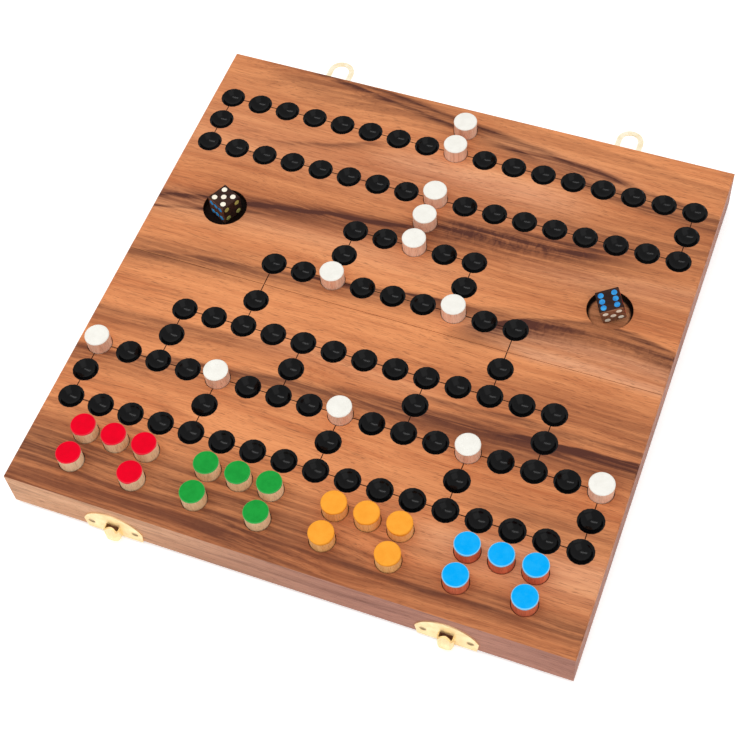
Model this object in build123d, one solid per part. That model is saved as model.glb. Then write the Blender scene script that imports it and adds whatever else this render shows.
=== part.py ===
from build123d import *
from math import asin, degrees
import os

# Folding game board: two hollow wooden trays, hinged rim to rim, whose backs are the playing surface.
# Millimetres, Z up, X along the fold. The open board stands on z = 0, centred on the origin.

# Board and trays
board_width = 292.5
half_depth = 146.6
half_height = 26.0
panel_thickness = 10.0
rail_thickness = 9.0
panel_edge_chamfer = 0.8
rail_edge_chamfer = 0.6
seam_gap = 0.3
closing_gap = 0.3

# Grid of peg holes, columns along X and rows along Y
hole_pitch = 16.7
column_count = 17
grid_shift_x = -0.8
hole_radius = 6.7
hole_depth = 4.0
last_near_row_to_fold = 10.9
first_far_row_to_fold = 13.9
last_near_row = 5
first_far_row = 6

# Pegs
peg_radius = 6.3
peg_standing_height = 8.2
peg_edge_chamfer = 0.4

# Dice and their wells
well_radius = 12.0
well_depth = 4.0
well_offset_x = 107.7
well_row = 7.6
die_edge = 12.3
die_edge_chamfer = 0.35

# How the dice lie: turns in degrees, shifts from the middle of the well
left_die_turn = -26.2
left_die_shift = (0.3, 0.5)
right_die_turn = 27.2
right_die_tilt_x = 7.0
right_die_tilt_y = -14.0
right_die_shift = (0.1, 0.3)

# Fold hinges
hinge_offset_x = 95.0
hinge_length = 26.0
knuckle_radius = 1.6
knuckle_count = 5
knuckle_end_gap = 0.2
knuckle_clearance = 0.3
leaf_reach = 8.0
leaf_thickness = 1.0
leaf_recess_clearance = 0.1
hinge_pin_radius = 0.8
pin_clearance = 0.05
screw_spacing = 14.0
screw_from_fold = 5.2
screw_shank_radius = 0.9
screw_head_radius = 1.8
screw_length = 9.0
fixing_clearance = 0.05

# Latch plates, on the outer faces of both trays
left_latch_x = -89.5
right_latch_x = 84.5
plate_thickness = 0.8
plate_foot_width = 30.0
plate_shoulder_width = 32.0
plate_shoulder_height = 7.7
plate_height = 19.0
plate_edge_chamfer = 0.25

# Nails, whose heads sit sunk in the plates' dished holes
nail_spacing = 23.6
nail_height = 7.0
dish_face_radius = 2.0
dish_back_radius = 1.0
nail_sink = 0.35
nail_shank_radius = 0.7
nail_length = 7.0

# Hood pressed out of each catch plate and open at its top, that the ring hooks over
hood_radius = 4.2
hood_flank = 0.8
hood_foot_height = 0.6
hood_foot_radius = 3.0
hood_top_height = 9.8
hood_arch_radius = 5.1
hood_lip_reach = 2.4
hood_wall = 0.8

# Swinging ring of each hasp
ring_width = 15.2
ring_band = 3.0
ring_length = 23.2
ring_thickness = 1.0
ring_edge_chamfer = 0.25
ring_pin_height = 9.1
ring_pin_radius = 0.7
eye_radius = 1.3
eye_clearance = 0.3
ear_thickness = 1.0
ear_margin = 1.0
ear_side_gap = 0.25
pin_head_radius = 1.2
pin_head_length = 0.6

# How far a cut runs past what it cuts, and how near two places count as one
cut_margin = 1.0
same_place = 0.001

# Heights and faces that follow from the sizes above
fold_z = knuckle_radius
rim_z = fold_z + closing_gap / 2
top_z = rim_z + half_height
panel_bottom_z = top_z - panel_thickness
rail_height = half_height - panel_thickness
hole_floor_z = top_z - hole_depth
well_floor_z = top_z - well_depth
ring_pin_standoff = plate_thickness + eye_clearance + eye_radius
catch_reach = plate_thickness + hood_flank + hood_radius
hasp_reach = ring_pin_standoff + ring_length
fold_y = (catch_reach - hasp_reach) / 2
front_y = fold_y - half_depth
back_y = fold_y + half_depth
near_seam_y = fold_y - seam_gap / 2
far_seam_y = fold_y + seam_gap / 2

# Which holes each row has, counted in columns from the left
every_column = range(column_count)
near_row_columns = {
    -2: (1, 3, 5, 7, 9, 11, 13, 15),
    -1: (1, 2, 3, 5, 6, 7, 9, 10, 11, 13, 14, 15),
    0: every_column,
    1: range(0, column_count, 4),
    2: every_column,
    3: range(2, 15, 4),
    4: range(2, 15),
    5: (4, 12),
}
far_row_columns = {
    6: range(4, 13),
    7: (6, 10),
    8: range(6, 11),
    9: (8,),
    10: every_column,
    11: (0, 16),
    12: every_column,
    13: (8,),
}

# Where the pegs stand, as (column, row)
blocker_places = {
    "near": [(0, 2), (4, 2), (8, 2), (12, 2), (16, 2)],
    "far": [(6, 6), (10, 6), (8, 8), (8, 9), (8, 10), (8, 12), (8, 13)],
}
house_colours = ("red", "green", "orange", "blue")
house_width_columns = 4
house_places = [(1, -1), (2, -1), (3, -1), (1, -2), (3, -2)]


def column_x(column):
    """X of a column of holes."""
    return (column - (column_count - 1) / 2) * hole_pitch + grid_shift_x


def row_y(row):
    """Y of a row of holes, which steps over the fold between the two halves."""
    if row <= last_near_row:
        return fold_y - last_near_row_to_fold - (last_near_row - row) * hole_pitch
    return fold_y + first_far_row_to_fold + (row - first_far_row) * hole_pitch


def box_between(low, high):
    """Box from its low corner to its high corner."""
    size = [b - a for a, b in zip(low, high)]
    return Pos(*low) * Box(*size, align=(Align.MIN, Align.MIN, Align.MIN))


def rod_along_x(radius, x_from, x_to, y, z):
    """Cylinder that lies along X."""
    rod = Cylinder(radius, x_to - x_from, align=(Align.CENTER, Align.CENTER, Align.MIN))
    return Pos(x_from, y, z) * Rot(0, 90, 0) * rod


def latch_centres():
    """X of the left latch and the right latch."""
    return (left_latch_x, right_latch_x)


def hinge_centres():
    """X of the left hinge and the right hinge."""
    return (-hinge_offset_x, hinge_offset_x)


# Wooden trays

def playing_panel(y_from, y_to, row_columns, outer_y):
    """Top board of one half, with its blind peg holes and a fine chamfer on the outer top edges."""
    panel = box_between((-board_width / 2, y_from, panel_bottom_z), (board_width / 2, y_to, top_z))
    top_edges = panel.edges().filter_by(lambda edge: abs(edge.center().Z - top_z) < same_place)
    outer_edges = [
        edge for edge in top_edges
        if abs(abs(edge.center().X) - board_width / 2) < same_place
        or abs(edge.center().Y - outer_y) < same_place
    ]
    panel = chamfer(outer_edges, panel_edge_chamfer)
    holes = Sketch() + [
        Pos(column_x(column), row_y(row)) * Circle(hole_radius)
        for row, columns in row_columns.items()
        for column in columns
    ]
    return panel - extrude(Pos(0, 0, hole_floor_z) * holes, hole_depth)


def near_panel():
    """Near half's playing surface."""
    return playing_panel(front_y, near_seam_y, near_row_columns, front_y)


def far_panel():
    """Far half's playing surface, with the two dice wells."""
    wells = Sketch() + [
        Pos(side * well_offset_x, row_y(well_row)) * Circle(well_radius) for side in (-1, 1)
    ]
    panel = playing_panel(far_seam_y, back_y, far_row_columns, back_y)
    return panel - extrude(Pos(0, 0, well_floor_z) * wells, well_depth)


def long_rail(y_from, y_to, outer_y):
    """Rail that runs the board's full width, chamfered along its outer lower edge."""
    rail = box_between((-board_width / 2, y_from, rim_z), (board_width / 2, y_to, panel_bottom_z))
    lower_edge = [
        edge for edge in rail.edges().filter_by(Axis.X)
        if abs(edge.center().Y - outer_y) < same_place and abs(edge.center().Z - rim_z) < same_place
    ]
    return chamfer(lower_edge, rail_edge_chamfer)


def side_rail(side, y_from, y_to):
    """Short rail at one side, between the long rails. side is -1 for left and 1 for right."""
    outer_x = side * board_width / 2
    inner_x = outer_x - side * rail_thickness
    low_x, high_x = sorted((outer_x, inner_x))
    return box_between((low_x, y_from, rim_z), (high_x, y_to, panel_bottom_z))


def nail_holes(face_y, outward):
    """Pilot holes for the four latch nails in an outer face. outward is -1 for front, 1 for back."""
    depth = nail_length + nail_sink - plate_thickness + fixing_clearance
    hole = Cylinder(
        nail_shank_radius + fixing_clearance, depth, align=(Align.CENTER, Align.CENTER, Align.MIN)
    )
    return [
        Pos(x + side * nail_spacing / 2, face_y, rim_z + nail_height) * Rot(outward * 90, 0, 0) * hole
        for x in latch_centres()
        for side in (-1, 1)
    ]


def near_front_rail():
    """Front rail, which carries the catch plates."""
    rail = long_rail(front_y, front_y + rail_thickness, front_y)
    return rail - nail_holes(front_y, -1)


def far_back_rail():
    """Back rail, which carries the hasps."""
    rail = long_rail(back_y - rail_thickness, back_y, back_y)
    return rail - nail_holes(back_y, 1)


def seam_rail(seam_y, toward_tray):
    """Rail at the fold, let in for the hinge leaves and hollowed for the knuckles."""
    inner_y = fold_y + toward_tray * rail_thickness
    y_from, y_to = sorted((seam_y, inner_y))
    rail = box_between((-board_width / 2, y_from, rim_z), (board_width / 2, y_to, panel_bottom_z))
    for x in hinge_centres():
        half_slot = hinge_length / 2 + leaf_recess_clearance
        knuckle_slot = rod_along_x(
            knuckle_radius + knuckle_clearance, x - half_slot, x + half_slot, fold_y, fold_z
        )
        leaf_edge_y = fold_y + toward_tray * (leaf_reach + leaf_recess_clearance)
        slot_from, slot_to = sorted((fold_y, leaf_edge_y))
        leaf_slot = box_between(
            (x - half_slot, slot_from, rim_z), (x + half_slot, slot_to, rim_z + leaf_thickness)
        )
        rail = rail - knuckle_slot - leaf_slot
        for screw_x in screw_places(x):
            pilot = Cylinder(
                screw_shank_radius + fixing_clearance,
                screw_length + fixing_clearance,
                align=(Align.CENTER, Align.CENTER, Align.MIN),
            )
            rail = rail - Pos(screw_x, fold_y + toward_tray * screw_from_fold, rim_z) * pilot
    return rail


# Fold hinges

def screw_places(hinge_x):
    """X of the two screws in one leaf."""
    return (hinge_x - screw_spacing / 2, hinge_x + screw_spacing / 2)


def knuckle_span(hinge_x, index):
    """Start and end along X of one knuckle of a hinge."""
    pitch = hinge_length / knuckle_count
    start = hinge_x - hinge_length / 2 + index * pitch
    return start + knuckle_end_gap / 2, start + pitch - knuckle_end_gap / 2


def hinge_leaf(hinge_x, toward_tray, own_knuckles):
    """One leaf with its own knuckles, cut clear of the other leaf's knuckles."""
    y_from, y_to = sorted((fold_y, fold_y + toward_tray * leaf_reach))
    leaf = box_between(
        (hinge_x - hinge_length / 2, y_from, rim_z),
        (hinge_x + hinge_length / 2, y_to, rim_z + leaf_thickness),
    )
    pitch = hinge_length / knuckle_count
    for index in range(knuckle_count):
        start, end = knuckle_span(hinge_x, index)
        if index in own_knuckles:
            leaf = leaf + rod_along_x(knuckle_radius, start, end, fold_y, fold_z)
        else:
            start = hinge_x - hinge_length / 2 + index * pitch
            leaf = leaf - rod_along_x(
                knuckle_radius + knuckle_clearance,
                start - knuckle_end_gap / 2,
                start + pitch + knuckle_end_gap / 2,
                fold_y,
                fold_z,
            )
    bore = rod_along_x(
        hinge_pin_radius + pin_clearance,
        hinge_x - hinge_length / 2 - cut_margin,
        hinge_x + hinge_length / 2 + cut_margin,
        fold_y,
        fold_z,
    )
    leaf = leaf - bore
    for screw_x in screw_places(hinge_x):
        place = Pos(screw_x, fold_y + toward_tray * screw_from_fold, rim_z)
        leaf = leaf - place * screw_shape(fixing_clearance)
    return leaf


def screw_shape(clearance):
    """Countersunk wood screw pointing up from z = 0, or with a clearance, the hole for it."""
    head = screw_head_radius + clearance
    shank = screw_shank_radius + clearance
    cone_height = screw_head_radius - screw_shank_radius
    tip_height = screw_shank_radius
    with BuildPart() as screw:
        with BuildSketch(Plane.XZ):
            with BuildLine():
                Polyline(
                    (0, 0),
                    (head, 0),
                    (shank, cone_height),
                    (shank, screw_length - tip_height),
                    (0, screw_length),
                    close=True,
                )
            make_face()
        revolve(axis=Axis.Z)
    return screw.part


def hinge_screws(toward_tray):
    """The four screws that hold one tray's hinge leaves."""
    screw = screw_shape(0)
    return [
        Pos(screw_x, fold_y + toward_tray * screw_from_fold, rim_z) * screw
        for hinge_x in hinge_centres()
        for screw_x in screw_places(hinge_x)
    ]


def hinge_leaves(toward_tray, own_knuckles):
    """Both hinges' leaves on one tray."""
    return [hinge_leaf(x, toward_tray, own_knuckles) for x in hinge_centres()]


def hinge_pins():
    """The pins of both fold hinges."""
    return [
        rod_along_x(hinge_pin_radius, x - hinge_length / 2, x + hinge_length / 2, fold_y, fold_z)
        for x in hinge_centres()
    ]


# Latches, drawn at the origin as they stand on the front face: outward is -Y and the rim is z = 0

def plate_outline():
    """Half-moon outline of a latch plate, in X and height."""
    foot = plate_foot_width / 2
    shoulder = plate_shoulder_width / 2
    with BuildSketch(Plane.XZ) as outline:
        with BuildLine():
            Polyline(
                (-shoulder, plate_shoulder_height), (-foot, 0), (foot, 0), (shoulder, plate_shoulder_height)
            )
            ThreePointArc(
                (shoulder, plate_shoulder_height), (0, plate_height), (-shoulder, plate_shoulder_height)
            )
        make_face()
    return outline.sketch


def plate_blank():
    """Latch plate with its front edges eased and its two dished nail holes."""
    plate = extrude(plate_outline(), plate_thickness)
    plate = chamfer(plate.faces().sort_by(Axis.Y)[0].edges(), plate_edge_chamfer)
    dish = Cone(
        dish_back_radius,
        dish_face_radius,
        plate_thickness,
        align=(Align.CENTER, Align.CENTER, Align.MIN),
    )
    for side in (-1, 1):
        plate = plate - Pos(side * nail_spacing / 2, 0, nail_height) * Rot(90, 0, 0) * dish
    return plate


def hood_solid(inset):
    """Outside of the hood, or with an inset, the hollow inside it.

    Its side view has a round foot and a curve that leans back to the lip. It is cut to its round plan
    and its round front view, except that the hollow runs out at the top.
    """
    radius = hood_radius - inset
    foot_radius = hood_foot_radius - inset
    foot_z = hood_foot_height + inset
    widest_z = hood_foot_height + hood_foot_radius
    rise = hood_top_height - widest_z
    lean = hood_flank + hood_radius - hood_lip_reach
    slope_radius = (rise ** 2 + lean ** 2) / (2 * lean) - inset
    slope_turn = degrees(asin(rise / slope_radius))
    middle_y = -plate_thickness - hood_flank
    front = middle_y - radius
    with BuildPart() as hood:
        with BuildSketch(Plane.YZ):
            with BuildLine():
                foot = CenterArc((front + foot_radius, widest_z), foot_radius, 180, 90)
                slope = CenterArc((front + slope_radius, widest_z), slope_radius, 180, -slope_turn)
                Polyline(foot @ 1, (0, foot_z), (0, hood_top_height), slope @ 1)
            make_face()
        extrude(amount=radius, both=True)
        with BuildSketch(Plane.XY):
            with Locations((0, middle_y)):
                Circle(radius)
                Rectangle(2 * radius, -middle_y, align=(Align.CENTER, Align.MIN))
        extrude(amount=plate_height, mode=Mode.INTERSECT)
        with BuildSketch(Plane.XZ):
            with Locations((0, hood_top_height - hood_arch_radius)):
                Circle(hood_arch_radius - inset)
                if inset:
                    Rectangle(2 * radius, hood_arch_radius, align=(Align.CENTER, Align.MIN))
        extrude(amount=-front, mode=Mode.INTERSECT)
    return hood.part


def catch_plate():
    """Catch: the plate with the hollow hood pressed out of it."""
    return plate_blank() + hood_solid(0) - hood_solid(hood_wall)


def ear_positions():
    """Inner and outer distance from the middle of each ear of a hasp plate."""
    inner = ring_width / 2 + ear_side_gap
    return inner, inner + ear_thickness


def hasp_plate():
    """Hasp: the plate with two ears that hold the ring's pin."""
    plate = plate_blank()
    inner, outer = ear_positions()
    ear_radius = ring_pin_radius + ear_margin
    for side in (-1, 1):
        x_from, x_to = sorted((side * inner, side * outer))
        lug = rod_along_x(ear_radius, x_from, x_to, -ring_pin_standoff, ring_pin_height)
        web = box_between(
            (x_from, -ring_pin_standoff, ring_pin_height - ear_radius),
            (x_to, -plate_thickness, ring_pin_height + ear_radius),
        )
        plate = plate + lug + web
    pin_hole = rod_along_x(
        ring_pin_radius + pin_clearance,
        -outer - cut_margin,
        outer + cut_margin,
        -ring_pin_standoff,
        ring_pin_height,
    )
    return plate - pin_hole


def hasp_pin():
    """Riveted pin through the ears and the ring's eyes."""
    reach = ear_positions()[1]
    pin = rod_along_x(ring_pin_radius, -reach, reach, -ring_pin_standoff, ring_pin_height)
    for x_from in (-reach - pin_head_length, reach):
        x_to = x_from + pin_head_length
        pin = pin + rod_along_x(pin_head_radius, x_from, x_to, -ring_pin_standoff, ring_pin_height)
    return pin


def hasp_ring():
    """Flat D-shaped ring standing straight out from its pin, with an eye on each arm."""
    outer = ring_width / 2
    inner = outer - ring_band
    arc_centre = ring_length - outer
    with BuildPart() as ring:
        with BuildSketch(Plane.XY.offset(-ring_thickness / 2)):
            Circle(outer)
            Circle(inner, mode=Mode.SUBTRACT)
            with Locations((0, outer)):
                Rectangle(outer * 2, outer * 2, mode=Mode.SUBTRACT)
            for side in (-1, 1):
                with Locations((side * (outer + inner) / 2, arc_centre / 2)):
                    Rectangle(ring_band, arc_centre)
        extrude(amount=ring_thickness)
        long_edges = ring.edges().filter_by(
            lambda edge: abs(abs(edge.center().Z) - ring_thickness / 2) < same_place
            and abs(edge.center().Y - arc_centre) > same_place
        )
        chamfer(long_edges, ring_edge_chamfer)
    shape = Pos(0, -arc_centre - ring_pin_standoff, ring_pin_height) * ring.part
    bore = rod_along_x(
        ring_pin_radius + pin_clearance,
        -outer - cut_margin,
        outer + cut_margin,
        -ring_pin_standoff,
        ring_pin_height,
    )
    for x_from in (-outer, inner):
        x_to = x_from + ring_band
        shape = shape + rod_along_x(eye_radius, x_from, x_to, -ring_pin_standoff, ring_pin_height)
    return shape - bore


def nail_shape():
    """Nail that points along +Y, with a flat head that tapers to fit the dished hole."""
    taper = (dish_face_radius - dish_back_radius) / plate_thickness
    head_under = dish_back_radius - fixing_clearance
    head_height = plate_thickness - nail_sink
    point_z = nail_length - 2 * nail_shank_radius
    with BuildPart() as nail:
        with BuildSketch(Plane.XZ):
            with BuildLine():
                Polyline(
                    (0, 0),
                    (head_under + head_height * taper, 0),
                    (head_under, head_height),
                    (nail_shank_radius, head_height),
                    (nail_shank_radius, point_z),
                    (0, nail_length),
                    close=True,
                )
            make_face()
        revolve(axis=Axis.Z)
    return Rot(-90, 0, 0) * nail.part


def latch_nails():
    """The two nails of one plate."""
    nail = nail_shape()
    y = nail_sink - plate_thickness
    return [Pos(side * nail_spacing / 2, y, nail_height) * nail for side in (-1, 1)]


def on_front(shape, x):
    """Puts a latch part on the front face."""
    return Pos(x, front_y, rim_z) * shape


def on_back(shape, x):
    """Turns a latch part round and puts it on the back face."""
    return Pos(x, back_y, rim_z) * Rot(0, 0, 180) * shape


# Pegs and dice

def peg(column, row):
    """Dowel peg standing on the floor of its hole."""
    height = hole_depth + peg_standing_height
    dowel = Cylinder(peg_radius, height, align=(Align.CENTER, Align.CENTER, Align.MIN))
    dowel = chamfer(dowel.edges().sort_by(Axis.Z)[-1], peg_edge_chamfer)
    return Pos(column_x(column), row_y(row), hole_floor_z) * dowel


def peg_nodes():
    """Every peg by its node name: the white blockers, then five pegs of each colour in its house."""
    pegs = {}
    places = blocker_places["near"] + blocker_places["far"]
    for number, (column, row) in enumerate(places, start=1):
        pegs[f"white_blocker_{number}"] = peg(column, row)
    for house, colour in enumerate(house_colours):
        for number, (column, row) in enumerate(house_places, start=1):
            pegs[f"{colour}_peg_{number}"] = peg(column + house * house_width_columns, row)
    return pegs


def die():
    """Cube with its edges eased."""
    cube = Box(die_edge, die_edge, die_edge)
    return chamfer(cube.edges(), die_edge_chamfer)


def die_in_well(side, turn, tilt_x, tilt_y, shift):
    """Die turned and tilted, with its lowest corner on the floor of a well."""
    turned = Rot(0, 0, turn) * Rot(0, tilt_y, 0) * Rot(tilt_x, 0, 0) * die()
    lowest = turned.bounding_box().min.Z
    x = side * well_offset_x + shift[0]
    y = row_y(well_row) + shift[1]
    return Pos(x, y, well_floor_z - lowest) * turned


def left_die():
    """Die that lies flat on five."""
    return die_in_well(-1, left_die_turn, 0, 0, left_die_shift)


def right_die():
    """Die that stands cocked in its well, with a six on top."""
    return die_in_well(1, right_die_turn, right_die_tilt_x, right_die_tilt_y, right_die_shift)


# Nodes

def all_nodes():
    """Each node's name and its solid or list of solids."""
    inside_front = front_y + rail_thickness
    inside_back = back_y - rail_thickness
    near_inner = fold_y - rail_thickness
    far_inner = fold_y + rail_thickness
    even_knuckles = range(0, knuckle_count, 2)
    odd_knuckles = range(1, knuckle_count, 2)
    nodes = {
        "near_panel": near_panel(),
        "near_front_rail": near_front_rail(),
        "near_left_rail": side_rail(-1, inside_front, near_inner),
        "near_right_rail": side_rail(1, inside_front, near_inner),
        "near_seam_rail": seam_rail(near_seam_y, -1),
        "far_panel": far_panel(),
        "far_back_rail": far_back_rail(),
        "far_left_rail": side_rail(-1, far_inner, inside_back),
        "far_right_rail": side_rail(1, far_inner, inside_back),
        "far_seam_rail": seam_rail(far_seam_y, 1),
        "near_hinge_leaves": hinge_leaves(-1, even_knuckles),
        "far_hinge_leaves": hinge_leaves(1, odd_knuckles),
        "hinge_pins": hinge_pins(),
        "near_hinge_screws": hinge_screws(-1),
        "far_hinge_screws": hinge_screws(1),
    }
    for side, x in zip(("left", "right"), latch_centres()):
        nodes[f"catch_plate_{side}"] = on_front(catch_plate(), x)
        nodes[f"hasp_plate_{side}"] = on_back(hasp_plate(), x)
        nodes[f"hasp_ring_{side}"] = on_back(hasp_ring(), x)
    nodes["catch_plate_nails"] = [on_front(nail, x) for x in latch_centres() for nail in latch_nails()]
    nodes["hasp_plate_nails"] = [on_back(nail, x) for x in latch_centres() for nail in latch_nails()]
    nodes["hasp_pins"] = [on_back(hasp_pin(), x) for x in latch_centres()]
    nodes.update(peg_nodes())
    nodes["die_left"] = left_die()
    nodes["die_right"] = right_die()
    return nodes


def save(name, solids):
    """Writes one node, which holds one solid or several separate ones."""
    shape = Compound(children=solids) if isinstance(solids, list) else solids
    export_step(shape, f"parts/{name}.step")


os.makedirs("parts", exist_ok=True)
for node_name, node_solids in all_nodes().items():
    save(node_name, node_solids)
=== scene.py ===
import bpy
import numpy as np
from mathutils import Matrix, Vector


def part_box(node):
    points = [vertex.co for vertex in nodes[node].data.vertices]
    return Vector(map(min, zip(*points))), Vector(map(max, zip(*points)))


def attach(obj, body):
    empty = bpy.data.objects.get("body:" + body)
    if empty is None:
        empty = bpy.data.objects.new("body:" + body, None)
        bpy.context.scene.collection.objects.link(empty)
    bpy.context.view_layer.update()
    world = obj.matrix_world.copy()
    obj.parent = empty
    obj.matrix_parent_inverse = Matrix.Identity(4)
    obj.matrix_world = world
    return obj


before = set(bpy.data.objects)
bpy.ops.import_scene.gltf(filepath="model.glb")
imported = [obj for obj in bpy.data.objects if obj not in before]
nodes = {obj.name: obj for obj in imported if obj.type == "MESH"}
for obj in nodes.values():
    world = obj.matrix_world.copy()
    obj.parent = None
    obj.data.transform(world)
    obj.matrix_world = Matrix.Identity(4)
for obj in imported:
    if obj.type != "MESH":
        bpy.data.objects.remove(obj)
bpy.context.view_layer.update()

MM = 0.001

# Levels of the board, read from the frame
BOARD_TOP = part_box("near_panel")[1].z
FOLD_Y = (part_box("near_panel")[1].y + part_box("far_panel")[0].y) / 2
FRONT_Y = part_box("near_panel")[0].y
BACK_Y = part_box("far_panel")[1].y
SIDE_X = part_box("near_panel")[1].x
PEG_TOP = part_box("blue_peg_1")[1].z

# The grid of holes, in millimetres
PITCH = 16.7
GRID_SHIFT_X = -0.8
LAST_NEAR_ROW, FIRST_FAR_ROW = 5, 6
NEAR_ROW_TO_FOLD, FAR_ROW_TO_FOLD = 10.9, 13.9
COLUMNS = 17
HOLE_RADIUS, HOLE_DEPTH = 6.7, 4.0
WELL_RADIUS, WELL_DEPTH = 12.0, 4.0
WELL_X, WELL_ROW = 107.7, 7.6

every = range(COLUMNS)
HOLE_ROWS = {
    -2: range(1, COLUMNS, 2),
    -1: [column for column in every if column % 4],
    0: every,
    1: range(0, COLUMNS, 4),
    2: every,
    3: range(2, 15, 4),
    4: range(2, 15),
    5: (4, 12),
    6: range(4, 13),
    7: (6, 10),
    8: range(6, 11),
    9: (8,),
    10: every,
    11: (0, 16),
    12: every,
    13: (8,),
}


def srgb(red, green, blue):
    """Linear colour with alpha from an sRGB colour given as 0 to 255."""
    value = np.array([red, green, blue]) / 255
    linear = np.where(value <= 0.04045, value / 12.92, ((value + 0.055) / 1.055) ** 2.4)
    return (*[float(x) for x in linear], 1.0)


def column_x(column):
    """X of a column of holes, in metres."""
    return ((np.asarray(column) - (COLUMNS - 1) / 2) * PITCH + GRID_SHIFT_X) * MM


def row_y(row):
    """Y of a row of holes, in metres. The pitch is broken at the fold."""
    row = np.asarray(row, float)
    near = -NEAR_ROW_TO_FOLD - (LAST_NEAR_ROW - row) * PITCH
    far = FAR_ROW_TO_FOLD + (row - FIRST_FAR_ROW) * PITCH
    return FOLD_Y + np.where(row <= LAST_NEAR_ROW, near, far) * MM


# Shader building blocks

def add(tree, kind, inputs=None, **settings):
    """Adds one shader node, sets its properties, and fills its sockets with values or links."""
    made = tree.nodes.new(kind)
    for name, value in settings.items():
        setattr(made, name, value)
    for name, value in (inputs or {}).items():
        if isinstance(value, bpy.types.NodeSocket):
            tree.links.new(value, made.inputs[name])
        else:
            made.inputs[name].default_value = value
    return made


def calc(tree, operation, *values, clamp=False):
    """Output of a Math node."""
    inputs = dict(enumerate(values))
    return add(tree, "ShaderNodeMath", inputs, operation=operation, use_clamp=clamp).outputs[0]


def scaled(tree, vector, x, y, z):
    """A vector times a constant in each direction."""
    inputs = {0: vector, 1: (x, y, z)}
    return add(tree, "ShaderNodeVectorMath", inputs, operation="MULTIPLY").outputs[0]


def noise(tree, vector, scale=1.0, detail=2.0, roughness=0.5, distortion=0.0):
    """Value of a noise texture."""
    inputs = {"Vector": vector, "Scale": scale, "Detail": detail, "Roughness": roughness,
              "Distortion": distortion}
    return add(tree, "ShaderNodeTexNoise", inputs).outputs["Fac"]


def ramp(tree, value, low, high, start=0.0, end=1.0):
    """A value mapped smoothly from low..high to start..end, and held outside."""
    inputs = {"Value": value, "From Min": low, "From Max": high, "To Min": start, "To Max": end}
    return add(tree, "ShaderNodeMapRange", inputs, interpolation_type="SMOOTHSTEP").outputs[0]


def blend_colour(tree, factor, first, second):
    """Mix of two colours."""
    made = add(tree, "ShaderNodeMix", data_type="RGBA")
    sockets = [made.inputs[0], made.inputs[6], made.inputs[7]]
    for socket, value in zip(sockets, (factor, first, second)):
        if isinstance(value, bpy.types.NodeSocket):
            tree.links.new(value, socket)
        else:
            socket.default_value = value
    return made.outputs[2]


def new_group(name, inputs, outputs):
    """An empty shader node group with named sockets. Returns the tree, its input and its output node."""
    tree = bpy.data.node_groups.new(name, "ShaderNodeTree")
    kinds = {"v": "NodeSocketVector", "f": "NodeSocketFloat", "c": "NodeSocketColor"}
    for direction, sockets in (("INPUT", inputs), ("OUTPUT", outputs)):
        for label, kind in sockets.items():
            tree.interface.new_socket(name=label, in_out=direction, socket_type=kinds[kind])
    return tree, tree.nodes.new("NodeGroupInput").outputs, tree.nodes.new("NodeGroupOutput")


def place(tree, group, inputs):
    """Places a group in a material with its own values and returns its outputs."""
    return add(tree, "ShaderNodeGroup", inputs, node_tree=group).outputs


def streak_group():
    """A streak that runs with the grain along a slightly bent line, sharp on one side of it.

    With d the distance across the grain from the line middle + slope x + bend x^2, its strength is
    exp(-(d / above)^2) above the line and exp(-(d / below)^2) below it. It fades at its two ends.
    """
    tree, source, target = new_group(
        "grain_streak",
        {"Vector": "v", "Middle": "f", "Slope": "f", "Bend": "f", "Above": "f", "Below": "f", "From": "f",
         "To": "f", "Fade": "f", "Strength": "f"},
        {"Mask": "f"},
    )
    x, y, _ = add(tree, "ShaderNodeSeparateXYZ", {0: source["Vector"]}).outputs
    line = calc(tree, "MULTIPLY_ADD", x, source["Slope"], source["Middle"])
    line = calc(tree, "MULTIPLY_ADD", calc(tree, "MULTIPLY", x, x), source["Bend"], line)
    distance = calc(tree, "SUBTRACT", y, line)
    over = calc(tree, "DIVIDE", calc(tree, "MAXIMUM", distance, 0.0), source["Above"])
    under = calc(tree, "DIVIDE", calc(tree, "MINIMUM", distance, 0.0), source["Below"])
    across = calc(tree, "ADD", over, under)
    bell = calc(tree, "EXPONENT", calc(tree, "MULTIPLY", calc(tree, "MULTIPLY", across, across), -1.0))
    start = ramp(tree, x, calc(tree, "SUBTRACT", source["From"], source["Fade"]),
                 calc(tree, "ADD", source["From"], source["Fade"]))
    end = ramp(tree, x, calc(tree, "SUBTRACT", source["To"], source["Fade"]),
               calc(tree, "ADD", source["To"], source["Fade"]), 1.0, 0.0)
    mask = calc(tree, "MULTIPLY", calc(tree, "MULTIPLY", start, end), bell)
    tree.links.new(calc(tree, "MULTIPLY", mask, source["Strength"]), target.inputs["Mask"])
    return tree


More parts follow.
